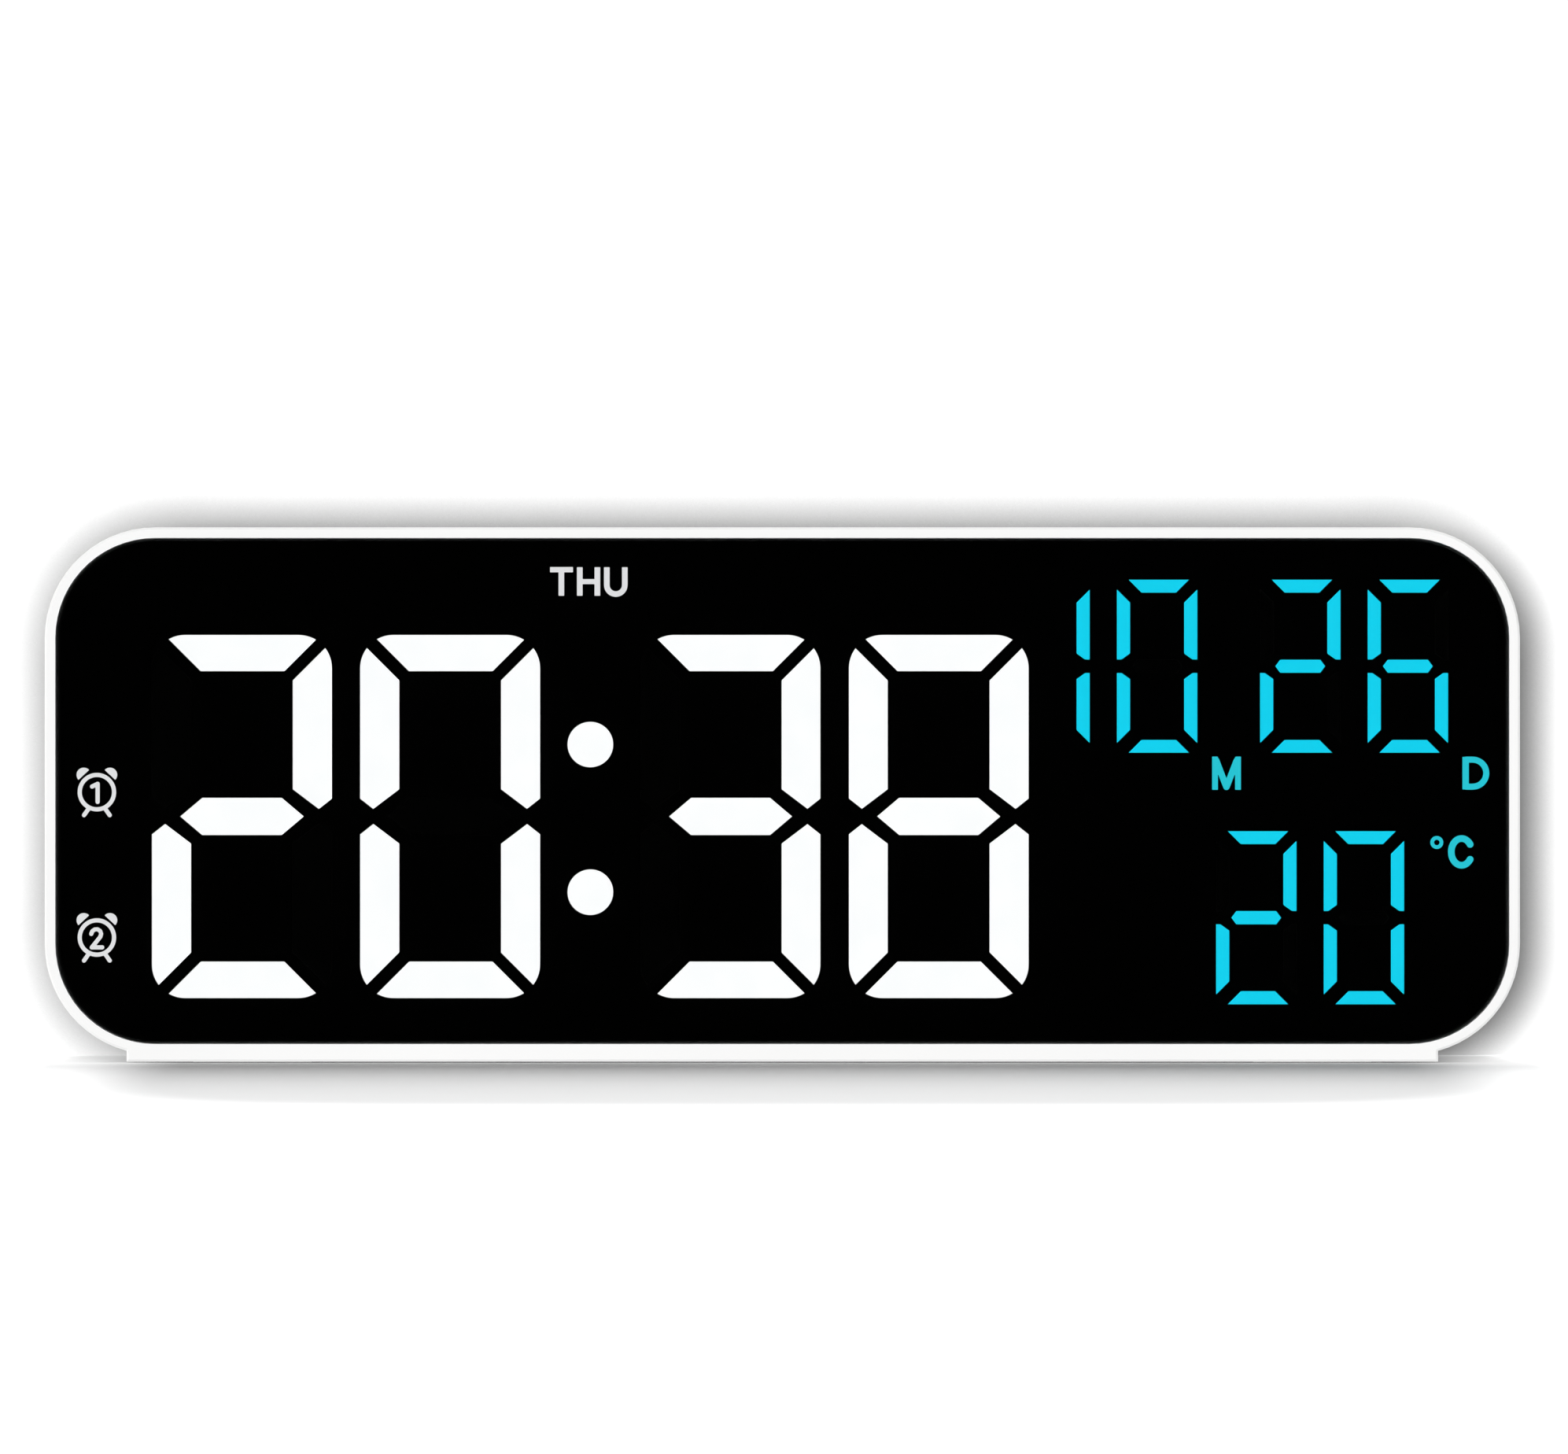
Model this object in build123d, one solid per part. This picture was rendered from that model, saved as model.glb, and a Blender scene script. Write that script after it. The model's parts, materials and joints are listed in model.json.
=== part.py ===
from build123d import *
import os
from dataclasses import dataclass
from math import sqrt

# Digital alarm clock, in millimetres. Seen from the front, X runs to the right, Y to the back and Z up.
# The origin is on the table, under the middle of the case.

# Case
case_width = 200.0
case_height = 71.5
case_corner_r = 15.0
wall = 2.0
rim_width = 1.45
rim_edge_r = 0.3
front_shell_depth = 13.0
rear_edge_r = 3.5
lip_depth = 2.0
lip_wall = 1.0
lip_clearance = 0.15
seam_depth = 0.25

# Foot moulded under the case, and its rubber pads
foot_drop = 1.1
foot_inset = 11.1
pad_length = 16.0
pad_width = 5.0
pad_depth = 0.8
pad_proud = 0.15
pad_clearance = 0.1
pad_side_inset = 16.9
pad_front_inset = 5.0
pad_rear_inset = 5.5

# Window: lens, printed film and the tape that holds them on the ledge
lens_recess = 0.2
lens_thickness = 2.0
lens_clearance = 0.1
lens_chamfer = 0.25
film_gap = 0.1
film_thickness = 0.3
tape_thickness = 0.2
ledge_width = 1.5
ledge_thickness = 1.5

# Reflector behind the film
reflector_clearance = 0.25
reflector_film_gap = 0.05
reflector_depth = 7.95
face_thickness = 1.15
diffuser_setback = 0.02
seat_clearance = 0.05
pocket_web = 1.6

# Circuit board
board_thickness = 1.6
board_clearance = 2.0
board_hole_clearance = 0.3

# Places of the digits, from the edges of the window
time_left_margin = 13.0
time_top_margin = 13.14
time_bottom_margin = 6.19
time_share = 0.6036
time_digit_gap = 3.89
colon_space = 13.71
colon_dot_r = 3.08
colon_dot_pitch = 20.05
colon_drop = 0.26
date_time_gap = 6.57
date_right_margin = 8.2
date_top_margin = 5.65
date_row_gap = 10.68
date_digit_gap = 3.76
date_stroke = 1.72
month_to_day_gap = 8.59
temperature_right_margin = 14.17
temperature_bottom_margin = 5.35

# Lit words and signs: the window that each one needs
weekday_count = 7
weekday_inset = 2.77
weekday_size = (11.2, 4.4)
weekday_top_margin = 5.95
month_sign_size = (4.5, 4.7)
month_sign_gap = 1.56
day_sign_size = (4.1, 4.7)
day_sign_gap = 1.6
sign_drop = 2.75
degree_sign_size = (6.4, 5.0)
degree_sign_gap = 3.07
degree_sign_drop = 2.85
alarm_sign_size = (6.0, 7.0)
alarm_sign_margin = 2.7
alarm_sign_rises = (34.25, 14.43)
sign_wall = 0.7

# Case screws, in lugs on the front shell
screw_r = 1.1
screw_head_r = 2.2
screw_head_height = 1.7
screw_length = 12.0
screw_clearance = 0.05
screw_slot = 0.6
screw_slot_depth = 0.8
screw_cross_margin = 0.9
lug_r = 2.5
lug_margin_side = 6.2
lug_margin_corner = 8.0
lug_drop_top = 17.6
lug_rise_bottom = 8.7
post_r = 3.0
post_board_gap = 0.05
post_floor = 5.7
head_clearance = 0.3

# Screws that hold the board on the reflector
board_screw_r = 0.9
board_screw_head_r = 1.8
board_screw_head_height = 1.2
board_screw_length = 6.0
board_screw_boss_r = 2.2
board_screw_lift = 4.0

# Battery bay for three AAA cells, one above the other
cell_r = 5.25
cell_length = 44.5
cell_nub_r = 1.9
cell_nub_length = 1.2
cell_edge_r = 0.5
cell_pitch = 11.2
cell_seat_gap = 0.15
cell_end_gap = 0.1
cell_door_gap = 0.75
bay_panel_gap = 1.1
bay_wall = 1.5
bay_floor = 1.2
bay_board_gap = 0.8
bay_side_gap = 0.4
cradle_height = 2.5
cradle_width = 1.0
cradle_length = 30.0
contact_space = 2.0
contact_thickness = 0.4
contact_width = 8.0
contact_height = 8.6
leaf_width = 5.0
leaf_span = 6.8
button_contact_r = 1.7
tail_width = 2.0
tail_clearance = 0.2

# Battery door, on two pins
door_overlap = 2.0
door_thickness = 2.2
door_gap = 0.3
door_seat_gap = 0.2
door_corner_r = 0.6
hinge_pin_r = 0.6
hinge_pin_length = 1.2
hinge_clearance = 0.05
latch_width = 12.0
latch_length = 8.0
latch_slot = 1.0
grip_depth = 0.6
grip_rib = 0.8
grip_rib_count = 3
finger_scoop_depth = 1.2
finger_scoop_width = 4.0

# Push buttons on the back, and the switches behind them
button_names = ["set", "up", "down", "alarm", "snooze"]
button_pitch = 14.0
button_drop = 12.6
button_length = 8.0
button_width = 4.5
button_edge_r = 0.4
button_proud = 0.8
button_travel = 0.5
button_clearance = 0.2
button_flange = 1.0
button_flange_thickness = 1.2
button_flange_gap = 0.1
button_stem_r = 1.5
panel_margin = 3.0
panel_depth = 1.2
switch_size = 6.0
switch_height = 3.5
switch_plunger_r = 1.75
switch_plunger_depth = 1.1
switch_plunger_top = 9.5
plunger_clearance = 0.05

# Keyholes that hang the clock on two screws
keyhole_spacing = 120.0
keyhole_drop = 25.6
keyhole_entry_r = 4.25
keyhole_slot_r = 2.25
keyhole_travel = 7.0
keyhole_pocket_depth = 5.0
keyhole_pocket_wall = 1.2
keyhole_pocket_margin = 0.6

# Power inlet: an upright socket at the bottom of a well
socket_inset = 25.0
socket_rise = 18.9
socket_width = 9.0
socket_thickness = 3.2
socket_wall = 0.3
socket_mouth_depth = 6.5
socket_tongue_width = 6.7
socket_tongue_thickness = 0.7
socket_tongue_setback = 0.5
socket_clearance = 0.2
well_width = 13.5
well_height = 8.5
well_depth = 5.0
well_corner_r = 2.0
well_wall = 1.2

# Buzzer behind its sound holes, and the temperature sensor behind its slots
buzzer_x = -57.0
buzzer_rise = 24.9
buzzer_r = 6.0
buzzer_height = 9.5
buzzer_port_r = 1.2
buzzer_port_depth = 1.0
buzzer_ring_wall = 1.0
buzzer_ring_gap = 0.5
sound_hole_r = 0.8
sound_hole_count = 6
sound_hole_circle_r = 3.6
sensor_inset = 14.0
sensor_drop = 0.85
sensor_bead_r = 1.2
sensor_lead_r = 0.25
sensor_lead_spacing = 1.27
sensor_reach = 9.0
vent_length = 8.0
vent_width = 1.2
vent_pitch = 2.6
vent_count = 4

# Small parts soldered to the back of the board
chip_x = 44.0
chip_rise = 34.9
chip_size = 10.0
chip_height = 1.4
chip_lead_reach = 1.0
chip_lead_height = 0.2
chip_lead_width = 0.4
chip_lead_pitch = 0.8
chip_lead_count = 11
chip_edge = 0.3
crystal_rise = 22.9
crystal_r = 1.0
crystal_length = 6.0
capacitor_rises = (11.9, 21.4)
capacitor_r = 3.15
capacitor_height = 5.4
resistor_x = -43.0
resistor_rise = 18.9
resistor_size = (1.6, 0.8, 0.5)
resistor_pitch = 3.0
resistor_count = 8

# Stiffening ribs inside the back
back_rib_x = 46.0
back_rib_height = 3.0
back_rib_width = 1.2

# The depth follows from what stands behind the window: the display, the board, the cells and the door
film_depth = lens_recess + lens_thickness + film_gap + film_thickness
display_depth = film_depth + reflector_film_gap + reflector_depth
bay_depth = bay_board_gap + bay_floor + cell_seat_gap + 2 * cell_r + cell_door_gap
case_depth = display_depth + board_thickness + bay_depth + door_seat_gap + door_thickness

# Levels worked out from the sizes above, first along Y and then along Z
front_y = -case_depth / 2
rear_y = case_depth / 2
split_y = front_y + front_shell_depth
lens_front_y = front_y + lens_recess
lens_rear_y = lens_front_y + lens_thickness
film_front_y = lens_rear_y + film_gap
film_rear_y = film_front_y + film_thickness
ledge_front_y = film_rear_y + tape_thickness
ledge_rear_y = ledge_front_y + ledge_thickness
reflector_front_y = film_rear_y + reflector_film_gap
seat_y = reflector_front_y + face_thickness
board_front_y = reflector_front_y + reflector_depth
board_rear_y = board_front_y + board_thickness
back_inside_y = rear_y - wall
bay_floor_y = board_rear_y + bay_board_gap + bay_floor
cell_axis_y = bay_floor_y + cell_seat_gap + cell_r
door_inside_y = rear_y - door_thickness
door_seat_y = door_inside_y - door_seat_gap
hinge_y = rear_y - door_thickness / 2
panel_y = rear_y - panel_depth
panel_inside_y = panel_y - wall
well_floor_y = rear_y - well_depth
keyhole_floor_y = back_inside_y - keyhole_pocket_depth

case_bottom = foot_drop
case_top = case_bottom + case_height
case_middle = case_bottom + case_height / 2
button_z = case_top - button_drop
keyhole_z = case_top - keyhole_drop
socket_z = case_bottom + socket_rise
buzzer_z = case_bottom + buzzer_rise
sensor_z = case_middle - sensor_drop
chip_z = case_bottom + chip_rise
crystal_z = case_bottom + crystal_rise
resistor_z = case_bottom + resistor_rise

# Outlines across the case
foot_length = case_width - 2 * foot_inset
pad_spacing = foot_length - 2 * pad_side_inset
window_width = case_width - 2 * rim_width
window_height = case_height - 2 * rim_width
window_left = -window_width / 2
window_right = window_width / 2
window_bottom = case_bottom + rim_width
window_top = case_top - rim_width
socket_x = case_width / 2 - socket_inset
sensor_x = case_width / 2 - sensor_inset

# Button panel, and below it the outlines of the battery bay and its door
panel_length = (len(button_names) - 1) * button_pitch + button_length + 2 * panel_margin
panel_height = button_width + 2 * panel_margin
bay_half_x = cell_length / 2 + contact_space
bay_half_z = cell_pitch + cell_r + bay_side_gap
door_half_x = bay_half_x + door_overlap
door_half_z = bay_half_z + door_overlap
bay_top = button_z - panel_height / 2 - wall - bay_panel_gap
bay_z = bay_top - bay_wall - door_gap - door_half_z
hinge_x = door_half_x - door_thickness / 2

# The time digits take their share of the window, and the date digits what is left beside them
time_block = window_width * time_share
time_digit_width = (time_block - 2 * time_digit_gap - colon_space) / 4
time_digit_height = window_height - time_top_margin - time_bottom_margin
time_digit_pitch = time_digit_width + time_digit_gap
time_pair_pitch = time_digit_pitch + time_digit_width + colon_space
date_block = window_width - time_left_margin - time_block - date_time_gap - date_right_margin
date_digit_width = (date_block - date_stroke - 2 * date_digit_gap - month_to_day_gap) / 3
date_digit_height = (window_height - date_top_margin - temperature_bottom_margin - date_row_gap) / 2
date_digit_pitch = date_digit_width + date_digit_gap
month_to_day = date_digit_width + month_to_day_gap
weekday_pitch = (time_block - weekday_inset - weekday_size[0]) / (weekday_count - 1)


@dataclass
class DigitStyle:
    width: float
    height: float
    side_stroke: float
    end_stroke: float
    middle_stroke: float
    mitre_gap: float
    bar_shift: float
    corner_r: float
    waist_inner: float
    waist_tip: float
    waist_outer: float
    tip_inset: float
    middle_reach: float
    middle_bevel: float
    cell_wall: float
    light_step: float
    led_length: float
    led_width: float
    led_height: float
    led_spread: tuple


# Two sizes of seven-segment digit
time_style = DigitStyle(
    width=time_digit_width, height=time_digit_height, side_stroke=5.25, end_stroke=4.9,
    middle_stroke=5.03, mitre_gap=1.8, bar_shift=0.08, corner_r=4.5, waist_inner=3.7, waist_tip=1.05,
    waist_outer=2.43, tip_inset=1.75, middle_reach=1.4, middle_bevel=2.97, cell_wall=1.2, light_step=0.4,
    led_length=3.0, led_width=1.4, led_height=0.8, led_spread=(-3.4, 3.4),
)
date_style = DigitStyle(
    width=date_digit_width, height=date_digit_height, side_stroke=date_stroke, end_stroke=date_stroke,
    middle_stroke=1.75, mitre_gap=1.95, bar_shift=0.24, corner_r=0.0, waist_inner=1.75, waist_tip=0.93,
    waist_outer=0.93, tip_inset=0.58, middle_reach=-0.36, middle_bevel=0.65, cell_wall=0.8, light_step=0.3,
    led_length=1.6, led_width=0.8, led_height=0.5, led_spread=(0.0,),
)


# A flat outline drawn in X and Z, made solid from one level of Y to another
def slab(outline, near_y, far_y):
    return extrude(Plane.XZ.offset(-near_y) * outline, amount=far_y - near_y, dir=(0, 1, 0))


def rod(x, z, radius, near_y, far_y):
    return slab(Pos(x, z) * Circle(radius), near_y, far_y)


def block(x, z, width, height, near_y, far_y):
    return slab(Pos(x, z) * Rectangle(width, height), near_y, far_y)


# The case outline, drawn in by an inset on every side
def case_outline(inset):
    radius = case_corner_r - inset
    return Pos(0, case_middle) * RectangleRounded(case_width - 2 * inset, case_height - 2 * inset, radius)


# The foot's square-ended outline, which reaches up into the case as far as its rounded corners do
def foot_outline():
    return Pos(0, pad_proud + case_corner_r / 2) * Rectangle(foot_length, case_corner_r)


# Seven-segment digits: a is the top bar, b the upper right, then clockwise to f, with g across the middle
def segment_points(style, letter):
    half_w = style.width / 2
    half_h = style.height / 2
    inner_x = half_w - style.side_stroke
    inner_z = half_h - style.end_stroke
    cut = style.mitre_gap / sqrt(2)
    if letter == "g":
        tip = inner_x + style.middle_reach
        flat = tip - style.middle_bevel
        thick = style.middle_stroke / 2
        return [(-tip, 0), (-flat, thick), (flat, thick), (tip, 0), (flat, -thick), (-flat, -thick)]
    if letter in "ad":
        end = inner_x - cut
        reach = end + style.end_stroke
        bar = [(-end, inner_z), (-reach, half_h), (reach, half_h), (end, inner_z)]
        points = [(x + style.bar_shift, z) for x, z in bar]
    else:
        points = [
            (inner_x, inner_z - cut),
            (half_w, inner_z - cut + style.side_stroke),
            (half_w, style.waist_outer),
            (half_w - style.tip_inset, style.waist_tip),
            (inner_x, style.waist_inner),
        ]
    side = -1 if letter in "ef" else 1
    rise = -1 if letter in "cde" else 1
    return [(side * x, rise * z) for x, z in points]


def segment_outline(style, letter, grow=0.0):
    outline = Polygon(*segment_points(style, letter), align=None)
    if style.corner_r:
        outline = outline & RectangleRounded(style.width, style.height, style.corner_r)
    if grow:
        outline = offset(outline, amount=grow, kind=Kind.INTERSECTION)
    return outline


def segment_centre(style, letter):
    side_x = (style.width - style.side_stroke) / 2
    end_z = (style.height - style.end_stroke) / 2
    centres = {
        "a": (0, end_z), "b": (side_x, style.height / 4), "c": (side_x, -style.height / 4),
        "d": (0, -end_z), "e": (-side_x, -style.height / 4), "f": (-side_x, style.height / 4),
        "g": (0, 0),
    }
    return centres[letter]


@dataclass
class Digit:
    style: DigitStyle
    x: float
    z: float
    lit: str
    fitted: str = "abcdefg"


# Where each digit stands, and what it shows: 20:38, month 10, day 26 and 20 degrees
hour_x = window_left + time_left_margin + time_style.width / 2
minute_x = hour_x + time_pair_pitch
time_z = window_bottom + time_bottom_margin + time_style.height / 2
day_x = window_right - date_right_margin - date_style.width / 2 - date_digit_pitch
month_x = day_x - month_to_day
date_z = window_top - date_top_margin - date_style.height / 2
warm_x = window_right - temperature_right_margin - date_style.width / 2 - date_digit_pitch
warm_z = window_bottom + temperature_bottom_margin + date_style.height / 2
digits = {
    "hour_tens_digit": Digit(time_style, hour_x, time_z, "abged"),
    "hour_units_digit": Digit(time_style, hour_x + time_digit_pitch, time_z, "abcdef"),
    "minute_tens_digit": Digit(time_style, minute_x, time_z, "abgcd"),
    "minute_units_digit": Digit(time_style, minute_x + time_digit_pitch, time_z, "abcdefg"),
    "month_tens_digit": Digit(date_style, month_x - date_digit_pitch, date_z, "bc", "bc"),
    "month_units_digit": Digit(date_style, month_x, date_z, "abcdef"),
    "day_tens_digit": Digit(date_style, day_x, date_z, "abged"),
    "day_units_digit": Digit(date_style, day_x + date_digit_pitch, date_z, "acdefg"),
    "temperature_tens_digit": Digit(date_style, warm_x, warm_z, "abged"),
    "temperature_units_digit": Digit(date_style, warm_x + date_digit_pitch, warm_z, "abcdef"),
}
colon_x = hour_x + (time_digit_pitch + time_pair_pitch) / 2
colon_dots = [(colon_x, time_z - colon_drop + side * colon_dot_pitch / 2) for side in (-1, 1)]


# Centre and size of the window behind each lit word or sign
def sign_windows():
    signs = []
    middle = (weekday_count - 1) / 2
    weekday_z = window_top - weekday_top_margin
    for day in range(weekday_count):
        signs.append((colon_x + (day - middle) * weekday_pitch, weekday_z, weekday_size))
    date_bottom = date_z - date_style.height / 2
    month_edge = month_x + date_style.width / 2 + month_sign_gap
    day_edge = day_x + date_digit_pitch + date_style.width / 2 + day_sign_gap
    warm_edge = warm_x + date_digit_pitch + date_style.width / 2 + degree_sign_gap
    warm_top = warm_z + date_style.height / 2
    signs.append((month_edge + month_sign_size[0] / 2, date_bottom - sign_drop, month_sign_size))
    signs.append((day_edge + day_sign_size[0] / 2, date_bottom - sign_drop, day_sign_size))
    signs.append((warm_edge + degree_sign_size[0] / 2, warm_top - degree_sign_drop, degree_sign_size))
    for rise in alarm_sign_rises:
        left = window_left + alarm_sign_margin
        signs.append((left + alarm_sign_size[0] / 2, window_bottom + rise, alarm_sign_size))
    return signs


signs = sign_windows()


def sign_outline(sign, grow=0.0):
    x, z, size = sign
    return Pos(x, z) * Rectangle(size[0] + 2 * grow, size[1] + 2 * grow)


# Every opening for a segment or colon dot, each grown by the clearance or drawn in by the light step
def segment_openings(step_in):
    outlines = []
    for digit in digits.values():
        grow = -digit.style.light_step if step_in else seat_clearance
        for letter in digit.fitted:
            outlines.append(Pos(digit.x, digit.z) * segment_outline(digit.style, letter, grow))
    dot_r = colon_dot_r + (-time_style.light_step if step_in else seat_clearance)
    outlines += [Pos(x, z) * Circle(dot_r) for x, z in colon_dots]
    return outlines


# Front shell, with the ledge for the lens, the foot and four screw lugs
top_lug = (case_width / 2 - lug_margin_side, case_top - lug_drop_top)
bottom_lug = (case_width / 2 - lug_margin_corner, case_bottom + lug_rise_bottom)
screw_places = [(side * x, z) for side in (-1, 1) for x, z in (top_lug, bottom_lug)]


pad_places = [
    (side * pad_spacing / 2, y)
    for side in (-1, 1)
    for y in (front_y + pad_front_inset, rear_y - rear_edge_r - pad_rear_inset)
]


def pad_cuts():
    width = pad_length + 2 * pad_clearance
    depth = pad_width + 2 * pad_clearance
    return [Pos(x, y, pad_depth / 2) * Box(width, depth, pad_depth) for x, y in pad_places]


def front_bezel():
    shell = slab(case_outline(0) + foot_outline(), front_y, split_y)
    shell = chamfer(shell.edges().group_by(Axis.Y)[0], rim_edge_r)
    shell = chamfer(shell.edges().group_by(Axis.Y)[-1], seam_depth)
    lugs = []
    for x, z in screw_places:
        side = 1 if x > 0 else -1
        web_length = case_width / 2 - abs(x)
        web = Pos(x + side * web_length / 2, z) * Rectangle(web_length, 2 * lug_r)
        lug = (Pos(x, z) * Circle(lug_r) + web) & case_outline(wall / 2)
        lugs.append(slab(lug, ledge_rear_y, board_front_y))
    shell = shell - [
        slab(case_outline(rim_width), front_y, ledge_front_y),
        slab(case_outline(rim_width + ledge_width), ledge_front_y, ledge_rear_y),
        slab(case_outline(wall), ledge_rear_y, split_y),
    ]
    pilots = [rod(x, z, screw_r + screw_clearance, ledge_rear_y, board_front_y) for x, z in screw_places]
    return shell + lugs - pilots - pad_cuts()


def display_lens():
    lens = slab(case_outline(rim_width + lens_clearance), lens_front_y, lens_rear_y)
    return chamfer(lens.edges().group_by(Axis.Y)[0], lens_chamfer)


def display_mask():
    film = case_outline(rim_width + lens_clearance) - segment_openings(False)
    return slab(film, film_front_y, film_rear_y)


def lens_tape():
    ring = case_outline(rim_width + lens_clearance) - case_outline(rim_width + ledge_width)
    return slab(ring, film_rear_y, ledge_front_y)


# Diffusers, each in the stepped seat of its cell
def segment_diffusers(digit, letters):
    near = film_front_y + diffuser_setback
    return [
        slab(Pos(digit.x, digit.z) * segment_outline(digit.style, letter), near, seat_y)
        for letter in letters
    ]


def time_colon():
    near = film_front_y + diffuser_setback
    return [rod(x, z, colon_dot_r, near, seat_y) for x, z in colon_dots]


def unlit_segments():
    pieces = []
    for digit in digits.values():
        pieces += segment_diffusers(digit, [letter for letter in digit.fitted if letter not in digit.lit])
    return pieces


def indicator_diffusers():
    return [slab(sign_outline(sign), reflector_front_y, seat_y) for sign in signs]


# The outline of the walled cell block behind one digit
def digit_block(digit):
    style = digit.style
    wall_out = 2 * style.cell_wall
    if digit.fitted == "bc":
        x = digit.x + (style.width - style.side_stroke) / 2
        return Pos(x, digit.z) * Rectangle(style.side_stroke + wall_out, style.height + wall_out)
    radius = style.corner_r + style.cell_wall
    return Pos(digit.x, digit.z) * RectangleRounded(style.width + wall_out, style.height + wall_out, radius)


# The hollows inside the two loops of a time digit, open to the back
def digit_pockets(digit):
    style = digit.style
    width = style.width - 2 * (style.side_stroke + pocket_web)
    top = style.height / 2 - style.end_stroke - pocket_web
    bottom = style.middle_stroke / 2 + pocket_web
    middle = (top + bottom) / 2
    return [Pos(digit.x, digit.z + side * middle) * Rectangle(width, top - bottom) for side in (-1, 1)]


time_digits = [digit for digit in digits.values() if digit.style is time_style]
hour_pocket_z = (time_style.height / 2 - time_style.end_stroke + time_style.middle_stroke / 2) / 2
board_screw_places = [
    (hour_x, time_z + hour_pocket_z),
    (hour_x, time_z - hour_pocket_z),
    ((month_x + day_x) / 2, date_z + board_screw_lift),
    (warm_x - date_digit_pitch, warm_z),
]


def display_reflector():
    seats = segment_openings(False)
    seats += [sign_outline(sign, seat_clearance) for sign in signs]
    face = case_outline(rim_width + ledge_width + reflector_clearance) - seats
    cells = Sketch()
    for digit in digits.values():
        cells += digit_block(digit)
    for digit in time_digits:
        cells -= digit_pockets(digit)
    cells += [Pos(x, z) * Circle(colon_dot_r + time_style.cell_wall) for x, z in colon_dots]
    cells += [sign_outline(sign, sign_wall) for sign in signs]
    cells += [Pos(x, z) * Circle(board_screw_boss_r) for x, z in board_screw_places]
    cells -= segment_openings(True)
    cells -= [sign_outline(sign, -date_style.light_step) for sign in signs]
    cells -= [Pos(x, z) * Circle(board_screw_r + screw_clearance) for x, z in board_screw_places]
    return slab(face, reflector_front_y, seat_y) + slab(cells, seat_y, board_front_y)


# Board, with the light-emitting diodes on its front
def main_board():
    outline = case_outline(wall + board_clearance)
    holes = [Pos(x, z) * Circle(screw_r + board_hole_clearance) for x, z in screw_places]
    holes += [Pos(x, z) * Circle(board_screw_r + board_hole_clearance) for x, z in board_screw_places]
    return slab(outline - holes, board_front_y, board_rear_y)


def led(style, x, z, upright):
    width = style.led_width if upright else style.led_length
    height = style.led_length if upright else style.led_width
    return block(x, z, width, height, board_front_y - style.led_height, board_front_y)


def segment_leds():
    pieces = []
    for digit in digits.values():
        for letter in digit.fitted:
            x, z = segment_centre(digit.style, letter)
            upright = letter in "bcef"
            for shift in digit.style.led_spread:
                along = (0, shift) if upright else (shift, 0)
                pieces.append(led(digit.style, digit.x + x + along[0], digit.z + z + along[1], upright))
    pieces += [led(time_style, x, z, False) for x, z in colon_dots]
    pieces += [led(date_style, x, z, False) for x, z, size in signs]
    return pieces


# A screw along Y with its head towards the back, seated at head_y, with a cross in the head
def screw(x, z, head_y, radius, head_r, head_height, length):
    body = rod(x, z, radius, head_y - length, head_y) + rod(x, z, head_r, head_y, head_y + head_height)
    near = head_y + head_height - screw_slot_depth
    far = head_y + head_height
    span = 2 * (head_r - screw_cross_margin)
    return body - [block(x, z, span, screw_slot, near, far), block(x, z, screw_slot, span, near, far)]


def board_screws():
    size = (board_screw_r, board_screw_head_r, board_screw_head_height, board_screw_length)
    return [screw(x, z, board_rear_y, *size) for x, z in board_screw_places]


screw_seat_y = board_rear_y + post_board_gap + post_floor


def case_screws():
    size = (screw_r, screw_head_r, screw_head_height, screw_length)
    return [screw(x, z, screw_seat_y, *size) for x, z in screw_places]


# Small parts on the back of the board
def control_chip():
    lead_span = chip_size + 2 * chip_lead_reach
    lead_y = board_rear_y + chip_lead_height
    leads = []
    for index in range(chip_lead_count):
        shift = (index - (chip_lead_count - 1) / 2) * chip_lead_pitch
        leads.append(block(chip_x + shift, chip_z, chip_lead_width, lead_span, board_rear_y, lead_y))
        leads.append(block(chip_x, chip_z + shift, lead_span, chip_lead_width, board_rear_y, lead_y))
    body = block(chip_x, chip_z, chip_size, chip_size, lead_y, lead_y + chip_height)
    body = chamfer(body.edges().group_by(Axis.Y)[-1], chip_edge)
    return body + leads


def clock_crystal():
    turned = Pos(chip_x, board_rear_y + crystal_r, crystal_z) * Rot(0, 90, 0)
    return turned * Cylinder(crystal_r, crystal_length)


def board_capacitors():
    top = board_rear_y + capacitor_height
    capacitor_x = (board_screw_places[-1][0] + socket_x) / 2
    return [
        rod(capacitor_x, case_bottom + rise, capacitor_r, board_rear_y, top)
        for rise in capacitor_rises
    ]


def board_resistors():
    length, width, height = resistor_size
    top = board_rear_y + height
    return [
        block(resistor_x, resistor_z + row * resistor_pitch, length, width, board_rear_y, top)
        for row in range(resistor_count)
    ]


def buzzer():
    top = board_rear_y + buzzer_height
    can = rod(buzzer_x, buzzer_z, buzzer_r, board_rear_y, top)
    return can - rod(buzzer_x, buzzer_z, buzzer_port_r, top - buzzer_port_depth, top)


def temperature_sensor():
    reach = board_rear_y + sensor_reach
    bead = Pos(sensor_x, reach, sensor_z) * Sphere(sensor_bead_r)
    leads = [
        rod(sensor_x + side * sensor_lead_spacing / 2, sensor_z, sensor_lead_r, board_rear_y, reach)
        for side in (-1, 1)
    ]
    return bead + leads


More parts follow.
